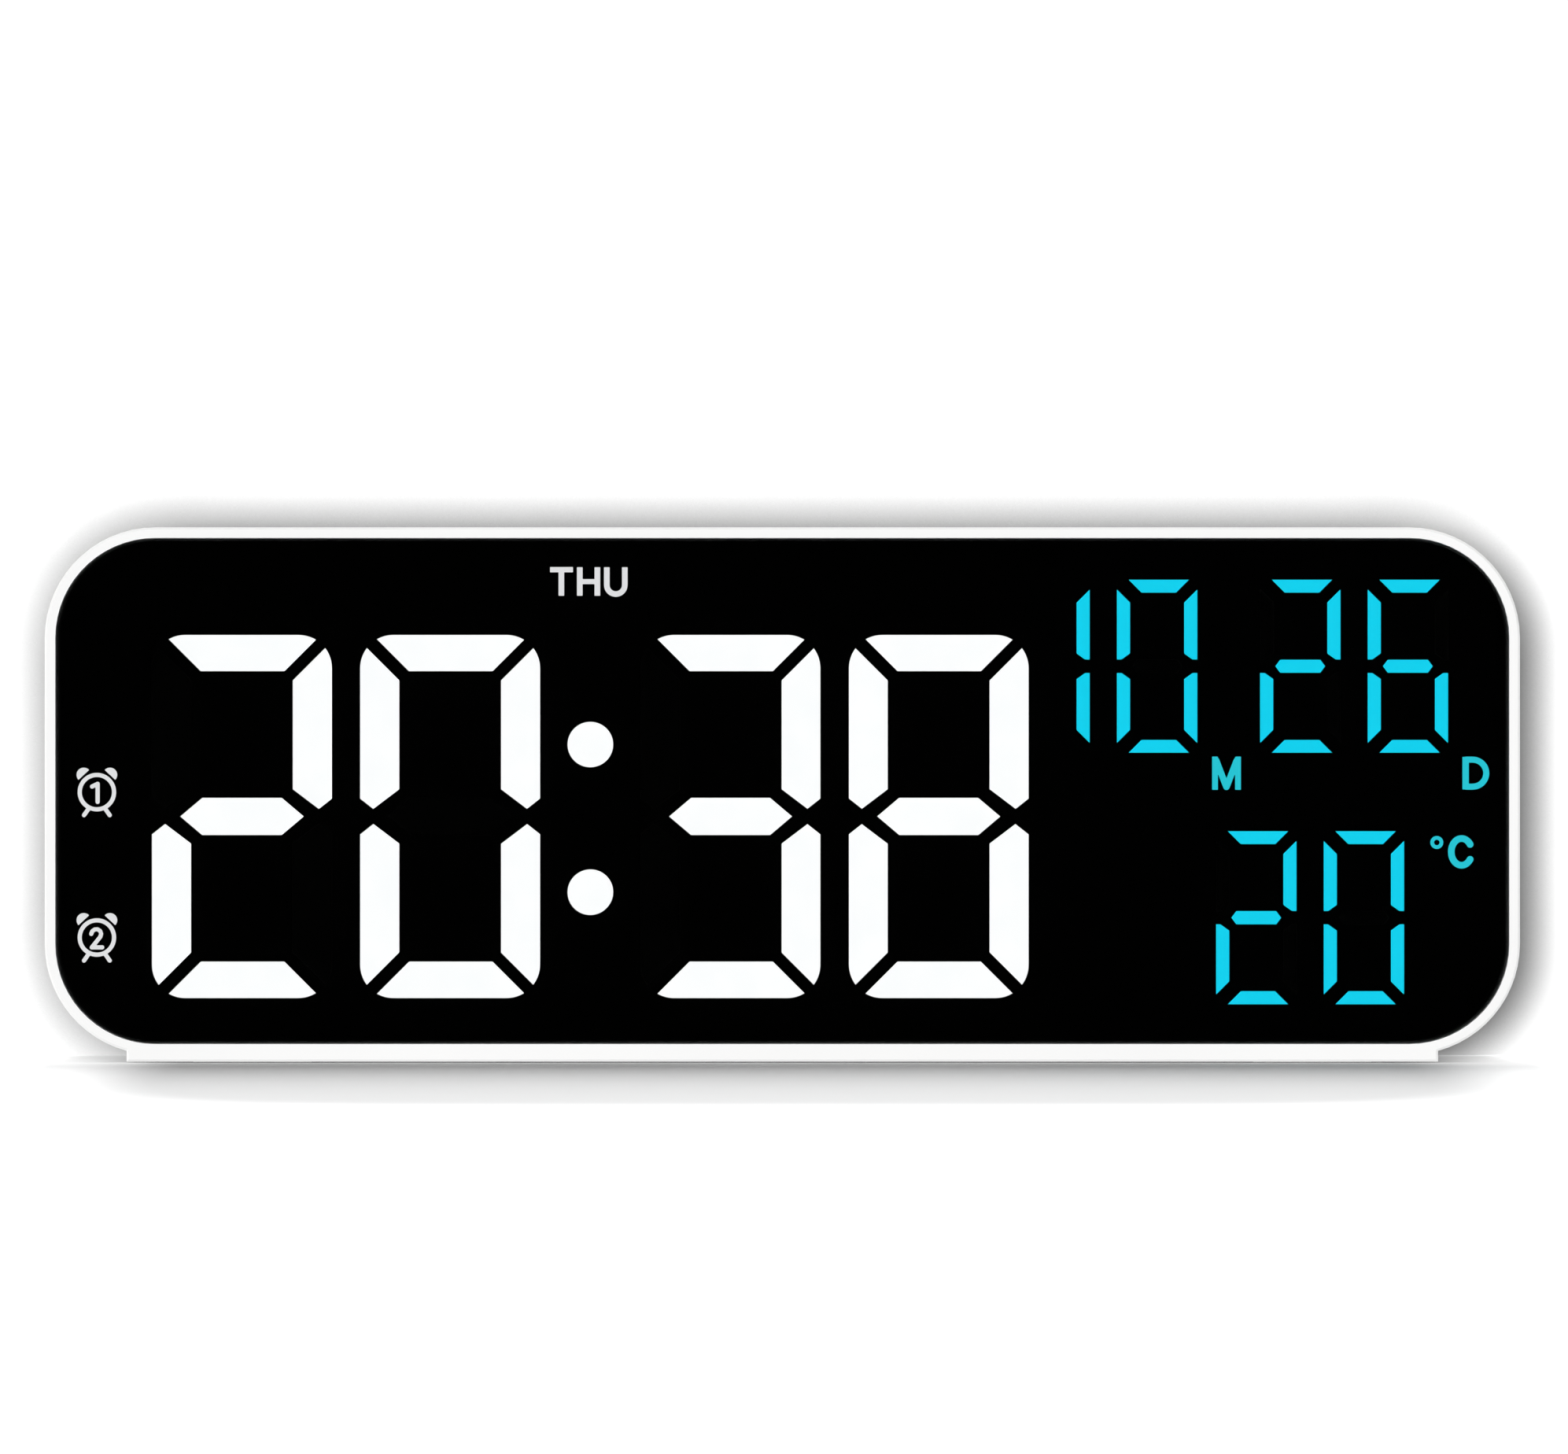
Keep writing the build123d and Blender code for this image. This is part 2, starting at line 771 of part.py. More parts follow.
def usb_socket():
    outer = Pos(socket_x, socket_z) * SlotOverall(socket_width, socket_thickness)
    bore = Pos(socket_x, socket_z) * SlotOverall(
        socket_width - 2 * socket_wall, socket_thickness - 2 * socket_wall)
    deep_y = well_floor_y - socket_mouth_depth
    tongue = block(socket_x, socket_z, socket_tongue_width, socket_tongue_thickness,
                   deep_y, well_floor_y - socket_tongue_setback)
    return slab(outer, board_rear_y, well_floor_y) - slab(bore, deep_y, well_floor_y) + tongue


# Buttons, and the switches that they press
def button_x(index):
    return (index - (len(button_names) - 1) / 2) * button_pitch


plunger_bottom_y = board_rear_y + switch_height - switch_plunger_depth
plunger_top_y = board_rear_y + switch_plunger_top


def key_switches():
    top = board_rear_y + switch_height
    pieces = []
    for index in range(len(button_names)):
        x = button_x(index)
        body = block(x, button_z, switch_size, switch_size, board_rear_y, top)
        bore_y = plunger_bottom_y - button_travel - plunger_clearance
        pieces.append(body - rod(x, button_z, switch_plunger_r + plunger_clearance, bore_y, top))
    return pieces


def switch_plunger(index):
    return rod(button_x(index), button_z, switch_plunger_r, plunger_bottom_y, plunger_top_y)


def push_button(index):
    place = Pos(button_x(index), button_z)
    flange_y = panel_inside_y - button_flange_gap
    cap = slab(place * SlotOverall(button_length, button_width), flange_y, panel_y + button_proud)
    cap = fillet(cap.edges().group_by(Axis.Y)[-1], button_edge_r)
    flange_outline = SlotOverall(button_length + 2 * button_flange, button_width + 2 * button_flange)
    flange = slab(place * flange_outline, flange_y - button_flange_thickness, flange_y)
    stem = slab(place * Circle(button_stem_r), plunger_top_y, flange_y - button_flange_thickness)
    return cap + flange + stem


# Cells and their contacts; the top and bottom cells point to the right, the middle one to the left
cell_rows = [(bay_z + cell_pitch, 1), (bay_z, -1), (bay_z - cell_pitch, 1)]


def battery_cell(row):
    z, side = cell_rows[row]
    body_length = cell_length - cell_nub_length
    body = Cylinder(cell_r, body_length, align=(Align.CENTER, Align.CENTER, Align.MIN))
    body = fillet(body.edges().group_by(Axis.Z)[-1], cell_edge_r)
    nub = Pos(0, 0, body_length) * Cylinder(
        cell_nub_r, cell_nub_length, align=(Align.CENTER, Align.CENTER, Align.MIN))
    return Pos(-side * cell_length / 2, cell_axis_y, z) * Rot(0, side * 90, 0) * (body + nub)


# The bowed leaf that presses on the flat end of a cell at one end of the bay
def contact_leaf(side, z):
    face_x = side * (bay_half_x - contact_thickness)
    reach = contact_space - contact_thickness - cell_end_gap
    low = cell_axis_y - leaf_span / 2
    high = cell_axis_y + leaf_span / 2

    def bow(span_in, depth):
        arc = ThreePointArc(
            (face_x, low + span_in), (face_x - side * depth, cell_axis_y), (face_x, high - span_in))
        return make_face(arc + Line(arc @ 1, arc @ 0))

    band = bow(0, reach) - bow(contact_thickness, reach - contact_thickness)
    return Pos(0, 0, z) * extrude(band, amount=leaf_width / 2, both=True)


def contact_button(side, z):
    reach = contact_space - cell_end_gap
    middle_x = side * (bay_half_x - reach / 2)
    return Pos(middle_x, cell_axis_y, z) * Rot(0, 90, 0) * Cylinder(button_contact_r, reach)


def contact_plate(side, low_z, high_z):
    x = side * (bay_half_x - contact_thickness / 2)
    centre = Pos(x, cell_axis_y, (low_z + high_z) / 2)
    return centre * Box(contact_thickness, contact_height, high_z - low_z)


# The tail that runs from a contact plate through the bay floor to the board
def contact_tail(side, z):
    x = side * (bay_half_x - contact_thickness / 2)
    top = cell_axis_y
    return Pos(x, (board_rear_y + top) / 2, z) * Box(contact_thickness, top - board_rear_y, tail_width)


half_contact = contact_width / 2
top_z, middle_z, low_z = [row[0] for row in cell_rows]


def negative_contact():
    plate = contact_plate(-1, top_z - half_contact, top_z + half_contact)
    return plate + contact_leaf(-1, top_z) + contact_tail(-1, top_z)


def right_bridge_contact():
    plate = contact_plate(1, middle_z - half_contact, top_z + half_contact)
    return plate + contact_button(1, top_z) + contact_leaf(1, middle_z)


def left_bridge_contact():
    plate = contact_plate(-1, low_z - half_contact, middle_z + half_contact)
    return plate + contact_button(-1, middle_z) + contact_leaf(-1, low_z)


def positive_contact():
    plate = contact_plate(1, low_z - half_contact, low_z + half_contact)
    return plate + contact_button(1, low_z) + contact_tail(1, low_z)


# Battery door: a plate with a round hinge edge, two pins and a sprung latch tongue
def battery_door():
    middle_x = (hinge_x - door_half_x) / 2
    plate = Pos(middle_x, hinge_y, bay_z) * Box(hinge_x + door_half_x, door_thickness, 2 * door_half_z)
    free_edges = plate.edges().filter_by(Axis.Z).group_by(Axis.X)[0]
    plate = fillet(free_edges, door_corner_r)
    hinge_place = Pos(hinge_x, hinge_y, bay_z)
    edge = hinge_place * Cylinder(door_thickness / 2, 2 * door_half_z)
    pins = hinge_place * Cylinder(hinge_pin_r, 2 * (door_half_z + hinge_pin_length))
    slot_x = -door_half_x + latch_length / 2
    slot_spacing = latch_width + latch_slot
    slots = [
        block(slot_x, bay_z + side * slot_spacing / 2, latch_length, latch_slot, door_inside_y, rear_y)
        for side in (-1, 1)
    ]
    grip_x = -door_half_x + latch_length / 2 + door_corner_r
    grip_length = latch_length - 2 * door_corner_r
    grip = block(grip_x, bay_z, grip_length, latch_width - 2 * grip_rib, rear_y - grip_depth, rear_y)
    pitch = grip_length / (grip_rib_count + 1)
    ribs = [
        block(grip_x + (index - (grip_rib_count - 1) / 2) * pitch, bay_z,
              grip_rib, latch_width - 2 * grip_rib, rear_y - grip_depth, rear_y)
        for index in range(grip_rib_count)
    ]
    return plate + edge + pins - slots - grip + ribs


# Rear shell and what is moulded on it
def bay_solids():
    inner_y = bay_floor_y - bay_floor
    seat_front_y = door_seat_y - bay_floor
    bay_out_x = bay_half_x + bay_wall
    bay_out_z = bay_half_z + bay_wall
    seat_out_x = door_half_x + door_gap + bay_wall
    seat_out_z = door_half_z + door_gap + bay_wall
    return [
        block(0, bay_z, 2 * bay_out_x, 2 * bay_out_z, inner_y, seat_front_y),
        block(0, bay_z, 2 * seat_out_x, 2 * seat_out_z, seat_front_y, back_inside_y),
    ]


def bay_cuts():
    door_width = 2 * (door_half_x + door_gap)
    door_height = 2 * (door_half_z + door_gap)
    hinge_hole = Pos(hinge_x, hinge_y, bay_z) * Cylinder(
        hinge_pin_r + hinge_clearance, 2 * (door_half_z + door_gap + hinge_pin_length))
    scoop_x = -door_half_x - door_gap
    scoop = Pos(scoop_x, bay_z) * SlotOverall(latch_width, 2 * finger_scoop_width, rotation=90)
    cuts = [
        block(0, bay_z, 2 * bay_half_x, 2 * bay_half_z, bay_floor_y, door_seat_y),
        block(0, bay_z, door_width, door_height, door_seat_y, rear_y),
        slab(scoop, rear_y - finger_scoop_depth, rear_y),
        hinge_hole,
    ]
    for side, z in ((-1, top_z), (1, low_z)):
        x = side * (bay_half_x - contact_thickness / 2)
        width = contact_thickness + 2 * tail_clearance
        height = tail_width + 2 * tail_clearance
        cuts.append(block(x, z, width, height, bay_floor_y - bay_floor, bay_floor_y))
    return cuts


def bay_cradles():
    top = bay_floor_y + cradle_height
    return [
        block(0, bay_z + side * cell_pitch / 2, cradle_length, cradle_width, bay_floor_y, top)
        for side in (-1, 1)
    ]


def button_panel_solid():
    backing = Pos(0, button_z) * RectangleRounded(panel_length + 2 * wall, panel_height + 2 * wall, wall)
    return slab(backing, panel_inside_y, back_inside_y)


def button_panel_cuts():
    recess = Pos(0, button_z) * RectangleRounded(panel_length, panel_height, wall)
    hole = SlotOverall(button_length + 2 * button_clearance, button_width + 2 * button_clearance)
    cuts = [slab(recess, panel_y, rear_y)]
    for index in range(len(button_names)):
        cuts.append(slab(Pos(button_x(index), button_z) * hole, panel_inside_y, panel_y))
    return cuts


def keyhole_pocket(x, grow):
    width = 2 * (keyhole_entry_r + keyhole_pocket_margin + grow)
    height = width + keyhole_travel
    return Pos(x, keyhole_z + keyhole_travel / 2) * Rectangle(width, height)


def keyhole_cuts(x):
    slot = Pos(x, keyhole_z + keyhole_travel / 2) * Rectangle(2 * keyhole_slot_r, keyhole_travel)
    end = Pos(x, keyhole_z + keyhole_travel) * Circle(keyhole_slot_r)
    return [
        slab(Pos(x, keyhole_z) * Circle(keyhole_entry_r) + slot + end, back_inside_y, rear_y),
        slab(keyhole_pocket(x, 0), keyhole_floor_y, back_inside_y),
    ]


keyhole_xs = [side * keyhole_spacing / 2 for side in (-1, 1)]


def well_solid():
    outline = Pos(socket_x, socket_z) * RectangleRounded(
        well_width + 2 * well_wall, well_height + 2 * well_wall, well_corner_r + well_wall)
    return slab(outline, well_floor_y - well_wall, back_inside_y)


def well_cuts():
    place = Pos(socket_x, socket_z)
    slot = SlotOverall(socket_width + 2 * socket_clearance, socket_thickness + 2 * socket_clearance)
    return [
        slab(place * RectangleRounded(well_width, well_height, well_corner_r), well_floor_y, rear_y),
        slab(place * slot, well_floor_y - well_wall, well_floor_y),
    ]


def buzzer_ring():
    near = board_rear_y + buzzer_height + buzzer_ring_gap
    outline = Pos(buzzer_x, buzzer_z) * (Circle(buzzer_r + buzzer_ring_wall) - Circle(buzzer_r))
    return slab(outline, near, back_inside_y)


def sound_holes():
    centre = Pos(buzzer_x, buzzer_z)
    ring = PolarLocations(sound_hole_circle_r, sound_hole_count)
    places = [centre] + [centre * place for place in ring]
    return [slab(place * Circle(sound_hole_r), back_inside_y, rear_y) for place in places]


def vent_slots():
    middle = (vent_count - 1) / 2
    return [
        slab(Pos(sensor_x, sensor_z + (row - middle) * vent_pitch) * SlotOverall(vent_length, vent_width),
             back_inside_y, rear_y)
        for row in range(vent_count)
    ]


# A post for each case screw, with a rib to the side wall
def screw_posts():
    posts = []
    for x, z in screw_places:
        side = 1 if x > 0 else -1
        near = board_rear_y + post_board_gap
        posts.append(rod(x, z, post_r, near, back_inside_y))
        rib = Pos(x + side * post_r, z) * Rectangle(2 * post_r, back_rib_width)
        posts.append(slab(rib & case_outline(wall / 2), split_y + lip_depth, back_inside_y))
    return posts


def screw_post_cuts():
    cuts = []
    for x, z in screw_places:
        cuts.append(rod(x, z, screw_r + board_hole_clearance, board_rear_y, screw_seat_y))
        cuts.append(rod(x, z, screw_head_r + head_clearance, screw_seat_y, rear_y))
    return cuts


def back_ribs():
    height = case_height - wall
    near = back_inside_y - back_rib_height
    return [
        block(side * back_rib_x, case_middle, back_rib_width, height, near, back_inside_y)
        for side in (-1, 1)
    ]


# The bevel round the joint with the front shell, which has the same bevel
def seam_cut():
    outline = case_outline(0) + foot_outline()
    body = slab(outline, split_y, rear_y)
    body = chamfer(body.edges().group_by(Axis.Y)[0], seam_depth)
    return slab(outline, split_y, split_y + seam_depth) - body


def rear_cover():
    shell = slab(case_outline(0), split_y, rear_y)
    shell = fillet(shell.edges().group_by(Axis.Y)[-1], rear_edge_r)
    hollow = slab(case_outline(wall), split_y, back_inside_y)
    hollow = fillet(hollow.edges().group_by(Axis.Y)[-1], rear_edge_r - wall)
    shell = shell - hollow + slab(foot_outline() - case_outline(wall), split_y, rear_y - rear_edge_r)
    lip_inner = case_outline(wall + lip_clearance + lip_wall)
    lip = slab(case_outline(wall + lip_clearance) - lip_inner, split_y - lip_depth, split_y)
    lip_root = slab(case_outline(wall / 2) - lip_inner, split_y, split_y + lip_depth)
    moulded = [lip, lip_root, button_panel_solid(), well_solid(), buzzer_ring()]
    moulded += screw_posts() + bay_solids() + back_ribs()
    moulded += [
        slab(keyhole_pocket(x, keyhole_pocket_wall), keyhole_floor_y - keyhole_pocket_wall, back_inside_y)
        for x in keyhole_xs
    ]
    cuts = bay_cuts() + button_panel_cuts() + well_cuts() + sound_holes() + vent_slots()
    cuts += screw_post_cuts() + pad_cuts()
    cuts.append(seam_cut())
    for x in keyhole_xs:
        cuts += keyhole_cuts(x)
    return shell + moulded - cuts + bay_cradles()


def foot_pads():
    return [Pos(x, y, pad_depth / 2) * Box(pad_length, pad_width, pad_depth) for x, y in pad_places]


# Every piece by its name; a list is a group of loose pieces that share one name
parts = {
    "front_bezel": front_bezel(),
    "display_lens": display_lens(),
    "display_mask": display_mask(),
    "lens_tape": lens_tape(),
    "time_colon": time_colon(),
    "unlit_segments": unlit_segments(),
    "indicator_diffusers": indicator_diffusers(),
    "display_reflector": display_reflector(),
    "main_board": main_board(),
    "segment_leds": segment_leds(),
    "board_screws": board_screws(),
    "control_chip": control_chip(),
    "clock_crystal": clock_crystal(),
    "board_capacitors": board_capacitors(),
    "board_resistors": board_resistors(),
    "buzzer": buzzer(),
    "temperature_sensor": temperature_sensor(),
    "usb_socket": usb_socket(),
    "key_switches": key_switches(),
    "rear_cover": rear_cover(),
    "case_screws": case_screws(),
    "battery_door": battery_door(),
    "negative_contact": negative_contact(),
    "right_bridge_contact": right_bridge_contact(),
    "left_bridge_contact": left_bridge_contact(),
    "positive_contact": positive_contact(),
    "foot_pads": foot_pads(),
}
for name, digit in digits.items():
    parts[name] = segment_diffusers(digit, digit.lit)
for index, name in enumerate(button_names):
    parts[f"{name}_button"] = push_button(index)
    parts[f"{name}_switch_plunger"] = switch_plunger(index)
for row in range(len(cell_rows)):
    parts[f"battery_cell_{row + 1}"] = battery_cell(row)

os.makedirs("parts", exist_ok=True)
for name, shape in parts.items():
    if isinstance(shape, list):
        shape = Compound(children=shape)
    export_step(shape, f"parts/{name}.step")
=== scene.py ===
import json
import math
import bpy
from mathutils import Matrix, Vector


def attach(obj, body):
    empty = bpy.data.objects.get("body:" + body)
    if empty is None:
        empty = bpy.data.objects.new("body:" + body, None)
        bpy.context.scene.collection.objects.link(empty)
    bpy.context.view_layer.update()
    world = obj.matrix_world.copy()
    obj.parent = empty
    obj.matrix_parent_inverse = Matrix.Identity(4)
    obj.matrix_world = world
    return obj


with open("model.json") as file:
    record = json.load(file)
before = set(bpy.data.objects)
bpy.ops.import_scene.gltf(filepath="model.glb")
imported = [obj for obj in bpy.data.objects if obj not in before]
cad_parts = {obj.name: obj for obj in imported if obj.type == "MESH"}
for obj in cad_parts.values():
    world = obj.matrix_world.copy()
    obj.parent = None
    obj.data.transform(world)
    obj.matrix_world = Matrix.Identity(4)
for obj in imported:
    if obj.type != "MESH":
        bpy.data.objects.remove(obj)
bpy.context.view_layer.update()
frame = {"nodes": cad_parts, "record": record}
nodes = frame["nodes"]
bpy.ops.object.select_all(action="DESELECT")
print("CAD model loaded:", len(nodes), "nodes")


def mm(value):
    return value / 1000


# The photograph is a straight front view, and spans this much at the front of the case
cameraSetup = {
    "lens": 200,
    "sensorWidth": 36,
    "frameWidth": mm(212.53),
    "aimX": mm(0.23),
    "aimZ": mm(45.52),
    "frontY": mm(-14),
    "nearClip": 0.01,
    "farClip": 20,
}


def makeCamera():
    setup = cameraSetup
    distance = setup["frameWidth"] * setup["lens"] / setup["sensorWidth"]
    place = (setup["aimX"], setup["frontY"] - distance, setup["aimZ"])
    bpy.ops.object.camera_add(location=place, rotation=(math.pi / 2, 0, 0))
    camera = bpy.context.object
    camera.name = "frontCamera"
    camera.data.lens = setup["lens"]
    camera.data.sensor_width = setup["sensorWidth"]
    camera.data.clip_start = setup["nearClip"]
    camera.data.clip_end = setup["farClip"]
    bpy.context.scene.camera = camera


makeCamera()
print("Camera placed")


def newTree(name):
    material = bpy.data.materials.new(name)
    material.use_nodes = True
    tree = material.node_tree
    tree.nodes.clear()
    output = tree.nodes.new("ShaderNodeOutputMaterial")
    return material, tree, output


def addMath(tree, operation, first, second=0.0):
    node = tree.nodes.new("ShaderNodeMath")
    node.operation = operation
    for socket, value in zip(node.inputs, (first, second)):
        if isinstance(value, (int, float)):
            socket.default_value = value
        else:
            tree.links.new(value, socket)
    return node.outputs[0]


# Takes a value from one range to another, and holds it at both ends
def mapRange(tree, value, start, end, low=0.0, high=1.0, smooth=False):
    node = tree.nodes.new("ShaderNodeMapRange")
    node.interpolation_type = "SMOOTHSTEP" if smooth else "LINEAR"
    for socket, number in (("From Min", start), ("From Max", end), ("To Min", low), ("To Max", high)):
        node.inputs[socket].default_value = number
    tree.links.new(value, node.inputs["Value"])
    return node.outputs[0]


def splitPlace(tree, kind="Object"):
    place = tree.nodes.new("ShaderNodeTexCoord")
    split = tree.nodes.new("ShaderNodeSeparateXYZ")
    tree.links.new(place.outputs[kind], split.inputs[0])
    return split.outputs


stageSetup = {
    "floorSize": 6.0,
    "wallSize": 3.0,
    "wallY": mm(14.25),
    "paint": 0.95,
    "wallLift": 0.05,        # what the camera sees on top of the light, so that the paper ends white
    "floorLift": 0.1,
    "farLift": 0.7,          # the same past the shadow at the foot: painted light that whitens the floor where the lamp's light falls off and clears the real shadow beside the foot's ends
    "shadowX": mm(1.6),      # the middle of that shadow, and its half sizes
    "shadowSide": mm(90),
    "shadowFront": mm(150),
    "shadowSquare": 6.0,     # 2 would be an oval, and more is squarer
    "shadowFade": 0.1,
    "paintedShadeReach": mm(8),    # how far the painted shade reaches from the clock onto the paper
    "paintedShadeSamples": 8,
    "wallPaintedShade": 2.0,
    "paintedShadeStart": mm(-15),  # on the floor the painted shade starts at the foot's front
    "paintedShadeFoot": mm(-12),
    "paintedShadeWall": mm(14),
    "paintedShadeGrowth": 2.2,
    "floorPaintedShade": 5.0,      # what it gains from there to the wall
}


# Painted shade: an ambient-occlusion node darkens the paper's colour close to the clock, a painted contact
# shadow
def addPaintedShade(tree, place, onWall):
    setup = stageSetup
    near = tree.nodes.new("ShaderNodeAmbientOcclusion")
    near.samples = setup["paintedShadeSamples"]
    near.inputs["Distance"].default_value = setup["paintedShadeReach"]
    depth = setup["wallPaintedShade"]
    if not onWall:
        besideFoot = mapRange(tree, place["Y"], setup["paintedShadeStart"], setup["paintedShadeFoot"])
        toWall = mapRange(tree, place["Y"], setup["paintedShadeFoot"], setup["paintedShadeWall"])
        growth = addMath(tree, "POWER", toWall, setup["paintedShadeGrowth"])
        depth = addMath(tree, "ADD", besideFoot, addMath(tree, "MULTIPLY", growth, setup["floorPaintedShade"]))
    deep = addMath(tree, "POWER", near.outputs["AO"], depth)
    return addMath(tree, "MULTIPLY", deep, setup["paint"])


# Painted light for the camera: a squared oval round the shadow at the foot parts the little lift inside it
# from the greater one outside, which clears the real shadow past the oval
def addFloorLift(tree, place):
    setup = stageSetup
    aside = addMath(tree, "SUBTRACT", place["X"], setup["shadowX"])
    shares = []
    for distance, limit in ((aside, setup["shadowSide"]), (place["Y"], setup["shadowFront"])):
        share = addMath(tree, "DIVIDE", addMath(tree, "ABSOLUTE", distance), limit)
        shares.append(addMath(tree, "POWER", share, setup["shadowSquare"]))
    reach = addMath(tree, "POWER", addMath(tree, "ADD", *shares), 1 / setup["shadowSquare"])
    fade = setup["shadowFade"]
    return mapRange(tree, reach, 1 - fade, 1 + fade, setup["floorLift"], setup["farLift"], smooth=True)


# White paper: lit like any paint, its colour darkened close to the clock by painted shade, with a little
# more for the camera so that it ends pure white
def makePaper(name, onWall):
    material, tree, output = newTree(name)
    place = splitPlace(tree)
    paint = tree.nodes.new("ShaderNodeBsdfDiffuse")
    # painted shade close to the clock goes into the paper's colour
    tree.links.new(addPaintedShade(tree, place, onWall), paint.inputs["Color"])
    path = tree.nodes.new("ShaderNodeLightPath")
    glow = tree.nodes.new("ShaderNodeEmission")
    # on the floor the lift is painted light, shaped to clear the shadow beside the foot
    lift = stageSetup["wallLift"] if onWall else addFloorLift(tree, place)
    tree.links.new(addMath(tree, "MULTIPLY", path.outputs["Is Camera Ray"], lift), glow.inputs["Strength"])
    both = tree.nodes.new("ShaderNodeAddShader")
    tree.links.new(paint.outputs[0], both.inputs[0])
    tree.links.new(glow.outputs[0], both.inputs[1])
    surface = both.outputs[0]
    if onWall:    # clear from behind, so that the clock's back is seen
        clear = tree.nodes.new("ShaderNodeBsdfTransparent")
        side = tree.nodes.new("ShaderNodeNewGeometry")
        mix = tree.nodes.new("ShaderNodeMixShader")
        tree.links.new(side.outputs["Backfacing"], mix.inputs[0])
        tree.links.new(surface, mix.inputs[1])
        tree.links.new(clear.outputs[0], mix.inputs[2])
        surface = mix.outputs[0]
    tree.links.new(surface, output.inputs["Surface"])
    return material


# Only the camera sees the paper, so the window mirrors the dark end of the studio instead
def showToCamera(paper):
    paper.visible_shadow = False
    paper.visible_diffuse = False
    paper.visible_glossy = False
    paper.visible_transmission = False


def makeStage():
    bpy.ops.mesh.primitive_plane_add(size=stageSetup["floorSize"], location=(0, 0, 0))
    floor = bpy.context.object
    floor.name = "paperFloor"
    floor.data.materials.append(makePaper("floorPaper", False))
    showToCamera(floor)
    # The paper close behind the clock catches its soft shadow from the lamps, and painted shade darkens it
    # further close to the clock
    size = stageSetup["wallSize"]
    place = (0, stageSetup["wallY"], size / 2)
    bpy.ops.mesh.primitive_plane_add(size=size, location=place, rotation=(math.pi / 2, 0, 0))
    wall = bpy.context.object
    wall.name = "paperWall"
    wall.data.materials.append(makePaper("wallPaper", True))
    showToCamera(wall)


lampSetup = {
    "front": {"strength": 2.78, "spread": 15.5, "distance": 1.0, "from": (-0.18, -1.0, 0.066)},
    "strip": {"power": 127, "width": 0.25, "length": 4.2, "distance": 3.0, "from": (-0.05, 1.05, 1.0)},
}


def makeLamps():
    for name, setup in lampSetup.items():
        place = Vector(setup["from"]).normalized() * setup["distance"]
        kind = "AREA" if "power" in setup else "SUN"
        bpy.ops.object.light_add(type=kind, location=place)
        lamp = bpy.context.object
        lamp.name = name + "Lamp"
        lamp.rotation_euler = place.to_track_quat("Z", "Y").to_euler()
        if kind == "AREA":
            lamp.data.shape = "RECTANGLE"
            lamp.data.size = setup["width"]
            lamp.data.size_y = setup["length"]
            lamp.data.energy = setup["power"]
        else:
            lamp.data.energy = setup["strength"]
            lamp.data.angle = math.radians(setup["spread"])
        lamp.visible_camera = False
        lamp.visible_glossy = False    # gloss comes from the soft sky alone
        lamp.visible_transmission = False


worldSetup = {
    "fill": 0.05,
    "sideFill": 2.4,
    "sideNarrow": 10.0,    # how closely the side light keeps to left and right
    "underFill": 0.8,
    "underNarrow": 4.0,
    "skyTop": 0.7,
    "skySide": 0.4,
    "darkStart": 0.62,
    "darkEnd": 0.9,
}


# A white studio that is dark behind the camera, so that the black window stays black from the front
def makeWorld():
    setup = worldSetup
    world = bpy.data.worlds.new("softStudio")
    bpy.context.scene.world = world
    world.use_nodes = True
    tree = world.node_tree
    tree.nodes.clear()
    output = tree.nodes.new("ShaderNodeOutputWorld")
    background = tree.nodes.new("ShaderNodeBackground")
    background.inputs["Color"].default_value = (1, 1, 1, 1)
    ray = tree.nodes.new("ShaderNodeLightPath").outputs
    place = splitPlace(tree, "Generated")
    toFront = addMath(tree, "MULTIPLY", place["Y"], -1.0)
    lit = mapRange(tree, toFront, setup["darkStart"], setup["darkEnd"], 1, 0, smooth=True)
    sky = mapRange(tree, place["Z"], 0, 1, setup["skySide"], setup["skyTop"])
    mirrored = addMath(tree, "MAXIMUM", ray["Is Glossy Ray"], ray["Is Transmission Ray"])
    gloss = addMath(tree, "MULTIPLY", addMath(tree, "MULTIPLY", lit, sky), mirrored)
    aside = addMath(tree, "POWER", addMath(tree, "ABSOLUTE", place["X"]), setup["sideNarrow"])
    down = addMath(tree, "MAXIMUM", addMath(tree, "MULTIPLY", place["Z"], -1.0), 0.0)
    under = addMath(tree, "POWER", down, setup["underNarrow"])
    sideFill = addMath(tree, "MULTIPLY", aside, setup["sideFill"])
    underFill = addMath(tree, "MULTIPLY", under, setup["underFill"])
    allFill = addMath(tree, "ADD", addMath(tree, "ADD", sideFill, underFill), setup["fill"])
    fill = addMath(tree, "MULTIPLY", ray["Is Diffuse Ray"], allFill)
    unseen = addMath(tree, "ADD", gloss, fill)
    tree.links.new(addMath(tree, "MAXIMUM", unseen, ray["Is Camera Ray"]), background.inputs["Strength"])
    tree.links.new(background.outputs[0], output.inputs["Surface"])


makeStage()
makeLamps()
makeWorld()
bpy.context.scene.view_settings.view_transform = "Standard"
print("Stage and light ready")


def newMaterial(name, colour, roughness, metallic=0.0):
    material = bpy.data.materials.new(name)
    material.use_nodes = True
    tree = material.node_tree
    shader = tree.nodes["Principled BSDF"]
    shader.inputs["Base Color"].default_value = (*colour, 1)
    shader.inputs["Roughness"].default_value = roughness
    shader.inputs["Metallic"].default_value = metallic
    return material, tree, shader


